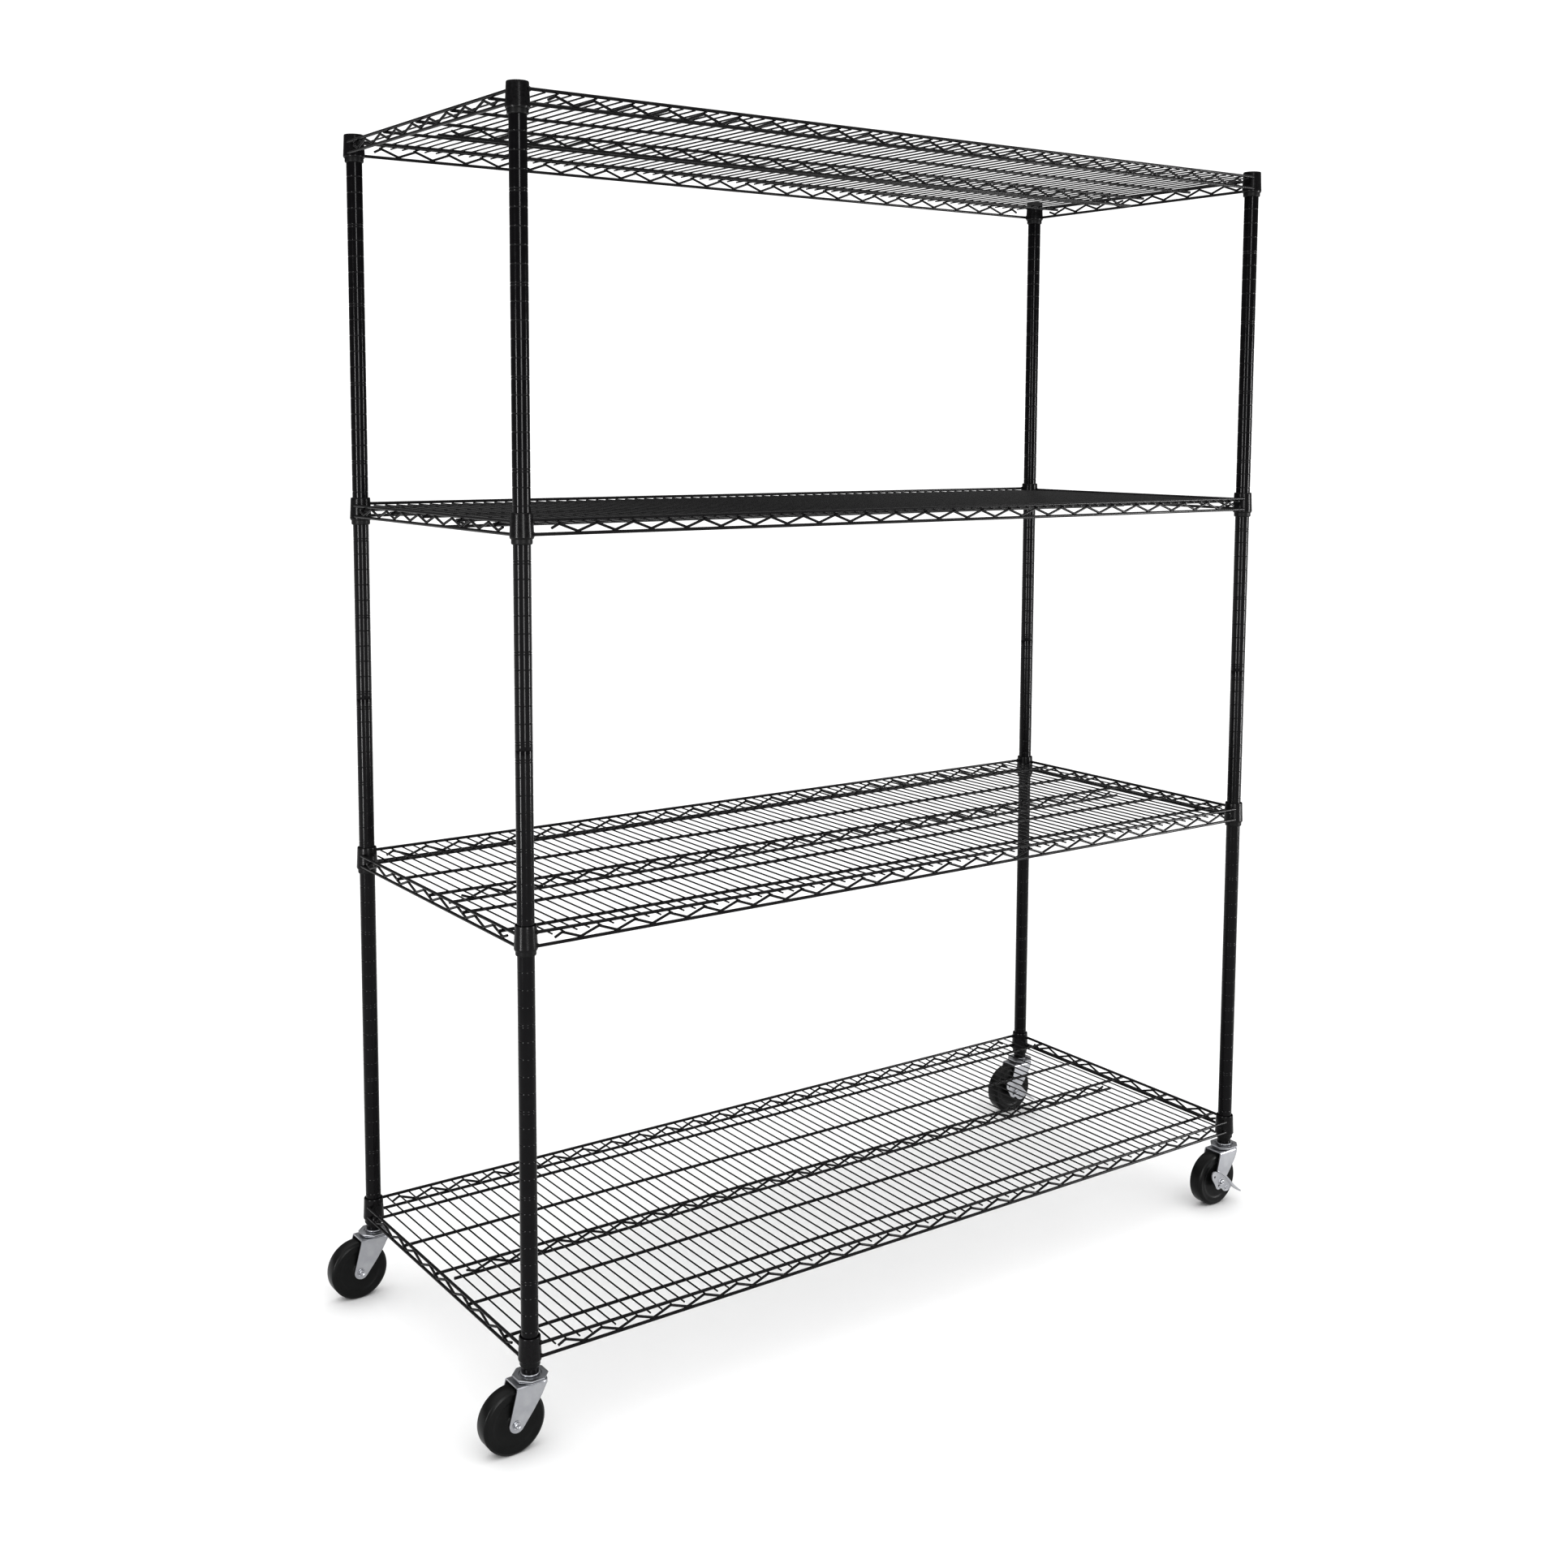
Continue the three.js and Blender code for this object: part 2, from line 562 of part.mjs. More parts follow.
/** One caster, trailing towards -X. */
function casterAssembly({ name, x, y, braked }) {
  const group = new THREE.Group();
  group.position.set(x, y, 0);
  group.add(piece(`caster_${name}_stem`, casterStem(), 'zinc'));
  group.add(piece(`caster_${name}_bearing_plate`, bearingPlate(), 'zinc'));
  group.add(piece(`caster_${name}_fork`, fork(), 'zinc'));
  const wheelGroup = new THREE.Group();
  wheelGroup.position.set(-CASTER_TRAIL, 0, AXLE_Z);
  wheelGroup.add(piece(`caster_${name}_wheel`, wheel(), 'rubber'));
  const reach = braked ? BRAKE_AXLE_REACH : PLAIN_AXLE_REACH;
  wheelGroup.add(piece(`caster_${name}_axle`, axle(reach), 'zinc'));
  if (braked) {
    wheelGroup.add(piece(`caster_${name}_brake_lever`, brakeLever(), 'zinc'));
  }
  group.add(wheelGroup);
  return group;
}

const rack = new THREE.Group();
rack.position.set(FOOTPRINT_SHIFT_X, FOOTPRINT_SHIFT_Y, CASTER_HEIGHT);
corners.forEach((corner) => rack.add(postAssembly(corner), casterAssembly(corner)));
shelfHeights.forEach((_, level) => rack.add(shelfAssembly(level)));

export default rack;
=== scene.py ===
"""Looks for the wire shelving rack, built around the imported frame.

Sizes and outlines are in millimetres, and mesh_of and piece turn them into metres. The stage is in
metres.
"""
import math
import bmesh
import bpy
from mathutils import Matrix, Vector


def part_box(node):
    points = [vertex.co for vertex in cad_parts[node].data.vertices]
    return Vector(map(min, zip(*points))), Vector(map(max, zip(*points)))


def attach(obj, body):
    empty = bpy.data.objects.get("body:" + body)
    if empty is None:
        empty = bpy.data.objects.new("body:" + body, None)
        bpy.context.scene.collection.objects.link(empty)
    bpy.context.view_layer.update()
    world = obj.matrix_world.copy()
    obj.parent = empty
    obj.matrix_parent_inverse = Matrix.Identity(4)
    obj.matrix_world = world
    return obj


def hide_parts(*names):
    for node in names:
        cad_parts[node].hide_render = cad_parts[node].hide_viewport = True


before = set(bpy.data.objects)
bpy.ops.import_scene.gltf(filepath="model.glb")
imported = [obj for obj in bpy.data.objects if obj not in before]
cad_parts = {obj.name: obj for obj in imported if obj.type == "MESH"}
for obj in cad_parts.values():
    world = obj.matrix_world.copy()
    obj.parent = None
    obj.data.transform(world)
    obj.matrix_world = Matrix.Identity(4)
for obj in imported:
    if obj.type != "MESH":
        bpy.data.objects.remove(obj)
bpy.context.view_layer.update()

MM = 0.001
INCH = 25.4
POSTS = ("front_left", "front_right", "back_left", "back_right")
BRAKED = ("front_right", "back_right")

# ---- Post sizes ----

POST_RADIUS = 12.7
POST_BORE = 11.5
POST_SIDES = 36
HALF_LENGTH = 36 * INCH
UPPER_START = 0.15
UPPER_END_GAP = 0.3
TUBE_END = ((0.0, 0.35), (0.1, 0.1), (0.4, 0.0))  # (distance from the end, inset)
RINGS = 36
DOUBLE_EVERY = 5
DOUBLE_DROP = 3.8
GROOVE_DEPTH = 0.4
GROOVE_SECTION = (  # (height from the groove's middle, share of the depth)
    (-1.2, 0), (-0.9, 0), (-0.6, 0.4), (-0.3, 0.95), (0.3, 0.95), (0.6, 0.4), (0.9, 0), (1.2, 0),
)
CAP_OUTLINE = (
    (0, 2.35), (5, 2.3), (9.5, 2.05), (11.6, 1.7), (12.3, 1.3), (12.65, 0.7), (12.7, 0.1),
    (12.5, -0.15), (11.3, -0.2), (11.3, -8.0), (10.4, -9.0), (0, -9.0),
)
SLEEVE_OUTLINE = (
    (12.85, -26.4), (13.5, -26.4), (14.4, -26.0), (14.95, -25.2), (15.12, -24.0), (14.6, -5.0),
    (14.25, 10.0), (14.15, 12.0), (13.8, 12.5), (12.85, 12.5),
)
SLEEVE_SIDES = 20
SLEEVE_STARTS = (4, 184)  # degrees
SLEEVE_SWEEP = 178.6

# ---- Shelf sizes ----

SHELF_GROOVES = (1.5, 25.5, 48.5, 71.5)
SHELF_SEAT_DROP = 2.0
COLLAR_OUTLINE = (
    (15.75, -18.6), (15.95, -19.0), (16.3, -18.9), (17.2, -17.0), (17.4, -16.3), (17.35, -15.4),
    (17.0, -9.0), (16.6, -1.0), (16.2, 8.0), (15.9, 15.4), (15.8, 16.8), (15.45, 17.7),
    (15.0, 18.0), (14.65, 17.75), (14.45, 17.0), (14.45, 14.0), (14.75, 2.0),
)
ROD_RADIUS = 2.5
ROD_SIDES = 16
ROD_EASE = 0.6
RAIL_OFFSET_Y = 12.1
RAIL_OFFSET_X = 12.9
RAIL_END_X = 9.5
RAIL_END_Y = 7.0
LONG_TOP_RAIL_Z = 7.6
SHORT_TOP_RAIL_Z = 5.0
BOTTOM_RAIL_Z = -12.4
WELD_ALONG, WELD_ACROSS, WELD_TALL = 5.0, 2.6, 3.8
WELD_SETBACK = 1.5
WELD_SINK = 1.4
CROSS_WIRE_RADIUS = 1.3
CROSS_WIRE_SIDES = 10
CROSS_WIRE_EASE = 0.3
CROSS_WIRE_Z = 3.7
CROSS_WIRE_PITCH = 20.09
CROSS_WIRE_FIRST = 31.7
CROSS_WIRE_COUNT = 72
CROSS_WIRE_REACH = 19.4
END_WIRE_INSET = 11.6
END_WIRE_SETBACK = 18.0
LONG_WIRE_COUNT = 5
LONG_WIRE_PITCH = 120.2
LONG_WIRE_REACH = 20.4

# Zigzag wires: how high their tops and lows are, and where their two ends lie.
TRUSS_RADIUS = 2.0
TRUSS_BEND = 5.0
TRUSS_PERIOD = 3 * CROSS_WIRE_PITCH
TRUSS_FIRST_TOP = CROSS_WIRE_FIRST + CROSS_WIRE_PITCH
LONG_TRUSS_TOPS = 24
LONG_TRUSS_HIGH, LONG_TRUSS_LOW = 1.6, -9.4
LONG_TRUSS_END, LONG_TRUSS_END_Z = 12.1, -4.6
SHORT_TRUSS_TOPS = 8
SHORT_TRUSS_HIGH, SHORT_TRUSS_LOW = 1.4, -9.0
SHORT_TRUSS_END_GAP, SHORT_TRUSS_END_Z = 32, -3.5
MIDDLE_TRUSS_HIGH, MIDDLE_TRUSS_LOW = -2.8, -13.6
MIDDLE_TRUSS_END, MIDDLE_TRUSS_END_Z = 15.3, -8.0
MIDDLE_RAIL_Z = -16.4
MIDDLE_RAIL_GAP = 15.0

# ---- Caster sizes ----

WHEEL_TRAIL = 31.5
WHEEL_RADIUS = 48.95
TREAD_HALF_WIDTH = 10.2
WHEEL_SIDES = 96
WHEEL_SIDE = (
    (4.5, 14.4), (11.5, 14.4), (12.4, 14.0), (13.1, 13.0), (14.4, 12.5), (30.5, 12.5), (32.4, 12.7),
    (34.0, 13.3), (35.6, 13.75), (37.6, 13.9), (42.6, 13.9), (43.3, 14.15), (44.0, 14.2),
    (44.7, 13.95), (45.9, 13.3), (48.2, 11.5), (48.7, 10.9),
)
STEM_OUTLINE = (
    (0, -15.3), (5.5, -15.3), (7.6, -14.6), (8.6, -13.2), (8.8, -12.3), (5.0, -12.3), (5.0, -3.0),
    (13.4, -3.0), (14.2, -2.7), (14.5, -2.0), (14.4, -1.1), (13.9, -0.5), (13.2, -0.3), (4.9, -0.3),
    (4.9, 14), (0, 14),
)
ROUND_SIDES = 40
KINGPIN_HOLE_RADIUS = 5.7
PLATE_CORNER = 3.0
PLATE_LEVELS = (  # (z, distance from the middle to a corner before it is rounded)
    (-5.5, 25.6), (-5.2, 26.4), (-4.6, 26.7), (-4.0, 26.6), (-3.6, 26.2), (-3.4, 25.4),
)
PLATE_TRENCH = ((14.6, -2), (14.6, -5.2), (16.6, -5.2), (17.2, -4.6), (17.4, -2))
RACE_LEVELS = (
    (-10.2, 17.5), (-9.2, 20.5), (-8.2, 24.6), (-7.6, 25.4), (-7.0, 25.4), (-6.6, 24.8),
    (-6.5, 20.0), (-6.2, 17.0),
)
FORK_TOP = -9.7
FORK_SHEET = 2.3
FORK_HALF_WIDTH = 20.0
FORK_NOSE = 23.5
FORK_CORNER = 14.0
FORK_SHOULDER = 3.6
FORK_INNER_SHOULDER = 1.6
FORK_FOLD = (-18.4, -17.2)
FORK_TAIL_PINCH = 0.9
FORK_TAIL = -60
FORK_BOTTOM = -90
FORK_BEVEL = 0.3
FORK_EYE_RADIUS = 12.0
FORK_REAR_EDGE = ((-29.0, -4.0), (-29.6, -9.0))
FORK_FRONT_EDGE = (
    (-4.0, -48.4), (5.6, -34.6), (8.8, -29.6), (13.6, -21.6), (16.2, -18.4), (19.0, -16.4),
    (22.0, -15.4), (30, -15.0), (30, -4.0),
)
AXLE_HOLE_RADIUS = 4.4
EYE_RING = ((4.5, 0.0), (6.2, 0.0), (6.9, 0.35), (6.9, 0.75), (6.3, 1.0), (5.4, 0.55), (4.5, 0.55))
SMALL_SIDES = 28
AXLE_REACH = 20.5
BRAKED_AXLE_REACH = 26.2

# ---- Brake lever sizes, measured from the axle ----

LEVER_PLATE = (
    (-28.0, 19.0), (-27.2, 10.0), (-22.0, 2.5), (-18.0, -4.5), (-14.0, -12.5), (-7.0, -14.0),
    (-3.0, -12.0), (0.0, -13.5), (4.0, -18.5), (10.5, -21.5), (18.0, -21.5), (24.5, -18.0),
    (28.5, -13.5), (20.0, -4.0), (8.0, 8.0), (-6.0, 18.0), (-16.0, 23.6), (-24.0, 24.4),
)
LEVER_PEDAL = (
    (-12.0, 21.2), (-6.0, 18.4), (3.0, 12.4), (12.0, 4.6), (20.0, -4.6), (26.0, -12.0),
    (33.0, -19.2), (42.0, -26.0), (51.0, -31.2), (54.4, -32.0), (54.0, -29.4), (44.5, -22.8),
    (36.0, -15.6),
    (29.0, -8.4), (22.4, -1.0), (13.4, 7.8), (3.6, 15.2), (-5.0, 21.0), (-10.5, 23.4),
)
LEVER_PLATE_Y = (-25.4, -23.0)
LEVER_POCKET_Y = (-26.4, -24.8)
LEVER_PEDAL_Y = (-25.9, -20.8)
LEVER_RIM = 2.0
LEVER_BEVEL = 0.35
LEVER_HOLES = ((0, 0, 4.4), (-19.5, 13.0, 2.1), (-8.0, -6.0, 1.9))  # (x, z, radius)
LEVER_BOSSES = (  # (x, z), outline
    ((0, 0), ((4.5, 0.0), (7.8, 0.0), (8.3, 0.4), (7.8, 0.95), (6.6, 1.1), (5.6, 0.7), (4.5, 0.7))),
    ((13.5, -14.0),
     ((0.5, 0.0), (4.0, 0.0), (4.2, 0.4), (3.7, 0.95), (2.6, 1.2), (1.2, 0.9), (0.5, 0.9))),
)


def post_foot(corner):
    """The middle of a post's lower end."""
    low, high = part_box(f"post_{corner}_lower")
    return Vector(((low.x + high.x) / 2, (low.y + high.y) / 2, low.z)) / MM


FEET = {corner: post_foot(corner) for corner in POSTS}
CENTRE = sum(FEET.values(), Vector()) / len(POSTS)
HALF_X = (FEET["front_right"].x - FEET["front_left"].x) / 2
HALF_Y = (FEET["back_left"].y - FEET["front_left"].y) / 2
AXLE_Z = -(FEET["front_left"].z - WHEEL_RADIUS)


# ---- Geometry ----

SIDEWAYS = ("x", "z", "y")  # a prism's outline seen from the front, pushed through along y
ACROSS = Matrix.Rotation(math.pi / 2, 3, "X")
CUT_REACH = 40
CUT_MARGIN = 10
SHARP_ANGLE = 32
ROUND_SHARP_ANGLE = 40
FORK_SHARP_ANGLE = 28
BEVEL_ANGLE = 40
TINY = 1e-6


class Shape:
    """Gathers points and faces, in millimetres. Each face carries a material number."""

    def __init__(self):
        self.points, self.faces, self.numbers = [], [], []

    def add(self, points, faces, number=0, at=(0, 0, 0), turn=None):
        base = len(self.points)
        matrix = Matrix.Translation(at) @ (turn.to_4x4() if turn else Matrix.Identity(4))
        self.points += [matrix @ Vector(p) for p in points]
        self.faces += [tuple(base + i for i in f) for f in faces]
        self.numbers += [number] * len(faces)


def lathe(outline, segments=32, closed=False, start=0.0, sweep=2 * math.pi):
    """A surface of revolution about Z from an outline of (radius, z)."""
    whole = abs(sweep - 2 * math.pi) < TINY
    columns = segments if whole else segments + 1
    angles = [start + sweep * i / segments for i in range(columns)]
    points = [(r * math.cos(a), r * math.sin(a), z) for a in angles for r, z in outline]
    rows = len(outline)
    faces = []
    for i in range(segments):
        here, there = i * rows, ((i + 1) % columns) * rows
        for j in range(rows if closed else rows - 1):
            k = (j + 1) % rows
            faces.append((here + j, there + j, there + k, here + k))
    if closed and not whole:
        faces.append(tuple(reversed(range(rows))))
        faces.append(tuple((columns - 1) * rows + j for j in range(rows)))
    if not closed and whole:  # an outline that starts or ends on the axis has one point there
        for j in (0, rows - 1):
            if outline[j][0] > TINY:
                continue
            ring = {i * rows + j for i in range(segments)}
            keep = min(ring)
            faces = [tuple(dict.fromkeys(keep if v in ring else v for v in f)) for f in faces]
    return points, [f for f in faces if len(f) > 2]


def rounded(path, bend, steps=5, most=0.48):
    """The path with each inner corner turned into a smooth bend, within a share of its sides."""
    path = [Vector(p) for p in path]
    out = [path[0]]
    for before, corner, after in zip(path, path[1:], path[2:]):
        into, away = (before - corner), (after - corner)
        half = (math.pi - into.angle(away)) / 2
        reach = min(bend * math.tan(half), into.length * most, away.length * most)
        a, b = corner + into.normalized() * reach, corner + away.normalized() * reach
        for i in range(steps + 1):
            t = i / steps
            out.append(a * (1 - t) ** 2 + corner * (2 * t * (1 - t)) + b * t ** 2)
    return out + [path[-1]]


def rod(path, radius, segments=12, ease=0.35):
    """A round wire along a path, with its two ends cut square and their edges eased."""
    path = [Vector(p) for p in path]
    tangents = [(b - a).normalized() for a, b in zip(path, path[1:])]
    joints = [(a + b).normalized() for a, b in zip(tangents, tangents[1:])]
    along = [tangents[0]] + joints + [tangents[-1]]
    side = along[0].orthogonal().normalized()
    rings = [(path[0], along[0], side, radius - ease)]
    for i, (point, tangent) in enumerate(zip(path, along)):
        side = (side - tangent * side.dot(tangent)).normalized()
        shift = tangent * (ease if i == 0 else -ease if i == len(path) - 1 else 0)
        rings.append((point + shift, tangent, side, radius))
    rings.append((path[-1], along[-1], side, radius - ease))
    points = []
    for point, tangent, side, r in rings:
        other = tangent.cross(side)
        for k in range(segments):
            a = 2 * math.pi * k / segments
            points.append(point + (side * math.cos(a) + other * math.sin(a)) * r)
    faces = []
    for i in range(len(rings) - 1):
        here, there = i * segments, (i + 1) * segments
        for k in range(segments):
            m = (k + 1) % segments
            faces.append((here + k, here + m, there + m, there + k))
    faces.append(tuple(reversed(range(segments))))
    faces.append(tuple((len(rings) - 1) * segments + k for k in range(segments)))
    return points, faces


def bead(size, seed, segments=12, rings=8):
    """A weld bead: a slightly uneven ellipsoid with half sizes (x, y, z)."""
    turns = [math.pi * i / rings for i in range(rings + 1)]
    points, faces = lathe([(math.sin(a), -math.cos(a)) for a in turns], segments)
    out = []
    for x, y, z in points:
        wave = 1 + 0.06 * math.sin(5.1 * x + seed) * math.cos(4.3 * z - seed)
        wave += 0.05 * math.sin(6.7 * y + 2 * seed)
        out.append((x * size[0] * wave, y * size[1] * wave, z * size[2] * wave))
    return out, faces


def prism(outline, low, high, axes=("x", "y", "z")):
    """A flat outline of (u, v) pushed from low to high along the third axis."""
    order = ["xyz".index(a) for a in axes]
    points = []
    for level in (low, high):
        for u, v in outline:
            p = [0.0, 0.0, 0.0]
            for index, value in zip(order, (u, v, level)):
                p[index] = value
            points.append(tuple(p))
    n = len(outline)
    faces = [tuple(range(n)), tuple(range(2 * n - 1, n - 1, -1))]
    faces += [(i, i + n, (i + 1) % n + n, (i + 1) % n) for i in range(n)]
    return points, faces


def loft(outlines):
    """A solid through level outlines: (z, [(x, y), ...]) with the same number of points each."""
    n = len(outlines[0][1])
    points = [(x, y, z) for z, outline in outlines for x, y in outline]
    faces = [tuple(range(n)), tuple(range(len(points) - 1, len(points) - 1 - n, -1))]
    for i in range(len(outlines) - 1):
        for j in range(n):
            k = (j + 1) % n
            faces.append((i * n + j, (i + 1) * n + j, (i + 1) * n + k, i * n + k))
    return points, faces


def arc(centre, radius, start, end, steps):
    """Points of an arc, angles in degrees."""
    turn = [math.radians(start + (end - start) * i / steps) for i in range(steps + 1)]
    return [(centre[0] + radius * math.cos(a), centre[1] + radius * math.sin(a)) for a in turn]


def circle(centre, radius, count):
    """Points of a whole circle."""
    return arc(centre, radius, 0, 360 - 360 / count, count - 1)


def mesh_of(name, shape, sharp=SHARP_ANGLE):
    """A Blender mesh in metres, smooth except at edges sharper than the angle."""
    mesh = bpy.data.meshes.new(name)
    mesh.from_pydata([p * MM for p in shape.points], [], shape.faces)
    mesh.polygons.foreach_set("material_index", shape.numbers)
    work = bmesh.new()
    work.from_mesh(mesh)
    bmesh.ops.delete(work, geom=[v for v in work.verts if not v.link_faces], context="VERTS")
    bmesh.ops.recalc_face_normals(work, faces=work.faces)
    work.to_mesh(mesh)
    work.free()
    mesh.shade_smooth()
    mesh.set_sharp_from_angle(angle=math.radians(sharp))
    return mesh


def turned_mesh(name, outline, segments, sharp=SHARP_ANGLE, closed=False):
    """The mesh of one turned part."""
    shape = Shape()
    shape.add(*lathe(outline, segments, closed))
    return mesh_of(name, shape, sharp)


def cut(base, *steps):
    """Boolean steps on a solid, each ("DIFFERENCE" | "UNION" | "INTERSECT", (points, faces))."""
    def helper(solid):
        shape = Shape()
        shape.add(*solid)
        thing = bpy.data.objects.new("cutter", mesh_of("cutter", shape))
        bpy.context.scene.collection.objects.link(thing)
        return thing

    body = helper(base)
    tools = []
    for operation, solid in steps:
        tools.append(helper(solid))
        modifier = body.modifiers.new("cut", "BOOLEAN")
        modifier.operation, modifier.object, modifier.solver = operation, tools[-1], "EXACT"
    bpy.context.view_layer.update()
    evaluated = body.evaluated_get(bpy.context.evaluated_depsgraph_get())
    done = bpy.data.meshes.new_from_object(evaluated)
    points = [v.co / MM for v in done.vertices]
    faces = [tuple(p.vertices) for p in done.polygons]
    for thing in (body, *tools):
        bpy.data.objects.remove(thing)
    bpy.data.meshes.remove(done)
    return points, faces


def piece(name, mesh, at, body, replaced, materials, bevel=0.0):
    """A finished piece at a place, in the frame, riding on a body in place of a CAD node."""
    thing = bpy.data.objects.new(name, mesh)
    bpy.context.scene.collection.objects.link(thing)
    thing.matrix_world = Matrix.Translation(at * MM)
    if not mesh.materials:
        for material in materials:
            mesh.materials.append(material)
    if bevel:
        eased = thing.modifiers.new("eased_edges", "BEVEL")
        eased.width, eased.segments, eased.limit_method = bevel * MM, 2, "ANGLE"
        eased.angle_limit = math.radians(BEVEL_ANGLE)
        eased.harden_normals = True
    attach(thing, body)
    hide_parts(replaced)


# ---- Materials ----

PATCH_DETAIL = 4.0
GRAIN_DETAIL, GRAIN_ROUGHNESS = 2.0, 0.5
COLOUR_SPREAD = (0.35, 0.65)
GLOSS_SPREAD = (0.3, 0.7)


def node_of(tree, kind, **inputs):
    """A shader node with some of its sockets set."""
    node = tree.nodes.new(kind)
    for key, value in inputs.items():
        node.inputs[key.replace("_", " ")].default_value = value
    return node


def noise(tree, coordinates, scale, detail, roughness=0.55):
    """Noise with so many grains to the metre."""
    node = node_of(tree, "ShaderNodeTexNoise", Scale=scale, Detail=detail, Roughness=roughness)
    tree.links.new(coordinates, node.inputs["Vector"])
    return node.outputs["Fac"]


def ramp(tree, value, low, high, start, end):
    """Maps low..high of a value to start..end, clamped."""
    node = tree.nodes.new("ShaderNodeMapRange")
    for key, number in (("From Min", low), ("From Max", high), ("To Min", start), ("To Max", end)):
        node.inputs[key].default_value = number
    tree.links.new(value, node.inputs["Value"])
    return node.outputs["Result"]


def mix_colour(tree, factor, first, second):
    """A mix of two colours. The node has sockets A and B for each kind of value."""
    node = tree.nodes.new("ShaderNodeMix")
    node.data_type = "RGBA"
    for socket in node.inputs:
        if socket.type == "RGBA":
            socket.default_value = (*(first if socket.name == "A" else second), 1)
    tree.links.new(factor, node.inputs["Factor"])
    return next(s for s in node.outputs if s.type == "RGBA")


def surface(name, colours, roughness, grain, bump, metallic=0.0, specular=0.5, patches=60.0):
    """A procedural finish: two close colours in soft patches, uneven gloss and a fine raised grain.

    colours is a pair of colours, roughness a (low, high) pair, grain and patches how many there are
    to the metre, and bump the grain's height in millimetres.
    """
    material = bpy.data.materials.new(name)
    material.use_nodes = True
    tree = material.node_tree
    shader = tree.nodes["Principled BSDF"]
    where = tree.nodes.new("ShaderNodeTexCoord").outputs["Object"]
    broad = noise(tree, where, patches, PATCH_DETAIL)
    fine = noise(tree, where, grain, GRAIN_DETAIL, GRAIN_ROUGHNESS)
    shade = mix_colour(tree, ramp(tree, broad, *COLOUR_SPREAD, 0, 1), *colours)
    tree.links.new(shade, shader.inputs["Base Color"])
    tree.links.new(ramp(tree, broad, *GLOSS_SPREAD, *roughness), shader.inputs["Roughness"])
    height = node_of(tree, "ShaderNodeBump", Strength=1.0, Distance=bump * MM)
    tree.links.new(fine, height.inputs["Height"])
    tree.links.new(height.outputs["Normal"], shader.inputs["Normal"])
    shader.inputs["Metallic"].default_value = metallic
    shader.inputs["Specular IOR Level"].default_value = specular
    return material


POST_BLACK = surface(
    "post_black", ((0.0026, 0.0024, 0.0028), (0.0034, 0.0032, 0.0036)), (0.12, 0.17),
    grain=700, bump=0.003, specular=0.13)
WIRE_BLACK = surface(
    "wire_black", ((0.0030, 0.0028, 0.0031), (0.0042, 0.0040, 0.0044)), (0.22, 0.30),
    grain=900, bump=0.006, specular=0.15)
COLLAR_BLACK = surface(
    "collar_black", ((0.0030, 0.0028, 0.0031), (0.0046, 0.0044, 0.0048)), (0.20, 0.30),
    grain=1100, bump=0.02, specular=0.14, patches=220)
SLEEVE_BLACK = surface(
    "sleeve_black", ((0.0032, 0.0032, 0.0034), (0.0046, 0.0046, 0.0048)), (0.36, 0.46),
    grain=1500, bump=0.008, specular=0.13)
CAP_BLACK = surface(
    "cap_black", ((0.0034, 0.0034, 0.0036), (0.0048, 0.0048, 0.0050)), (0.34, 0.42),
    grain=1500, bump=0.008, specular=0.18)
ZINC = surface(
    "zinc", ((0.335, 0.34, 0.36), (0.38, 0.385, 0.40)), (0.32, 0.38),
    grain=420, bump=0.003, metallic=1.0)
WHEEL_BLACK = surface(
    "wheel_black", ((0.0034, 0.0035, 0.0035), (0.0048, 0.0050, 0.0050)), (0.28, 0.38),
    grain=1200, bump=0.006, specular=0.14)


# ---- Posts ----

def grooved(z_from, z_to, joint, away):
    """A post half's outside from one height to another, its rings counted away from the joint."""
    rings = []
    for k in range(RINGS):
        z = joint + away * (INCH / 2 + k * INCH)
        rings.append(z)
        if k % DOUBLE_EVERY == 0 and k < RINGS - 1:
            rings.append(z - DOUBLE_DROP)
    profile = [(POST_RADIUS - inset, z_from + step) for step, inset in TUBE_END]
    for z in sorted(rings):
        for rise, share in GROOVE_SECTION:
            profile.append((POST_RADIUS - GROOVE_DEPTH * share, z + rise))
    return profile + [(POST_RADIUS - inset, z_to - step) for step, inset in reversed(TUBE_END)]


def tube_mesh(name, profile):
    """A post half: its grooved outside and its plain bore."""
    walls = profile + [(POST_BORE, profile[-1][1]), (POST_BORE, profile[0][1])]
    return turned_mesh(name, walls, POST_SIDES, ROUND_SHARP_ANGLE, closed=True)


lower_tube = tube_mesh("post_lower", grooved(0, HALF_LENGTH, HALF_LENGTH, -1))
upper_tube = tube_mesh("post_upper", grooved(UPPER_START, HALF_LENGTH - UPPER_END_GAP, 0, 1))
cap_mesh = turned_mesh("post_cap", CAP_OUTLINE, POST_SIDES)
sleeve_shape = Shape()
for start in SLEEVE_STARTS:
    sleeve_shape.add(*lathe(SLEEVE_OUTLINE, SLEEVE_SIDES, True, math.radians(start),
                            math.radians(SLEEVE_SWEEP)))
sleeve_mesh = mesh_of("sleeve", sleeve_shape)

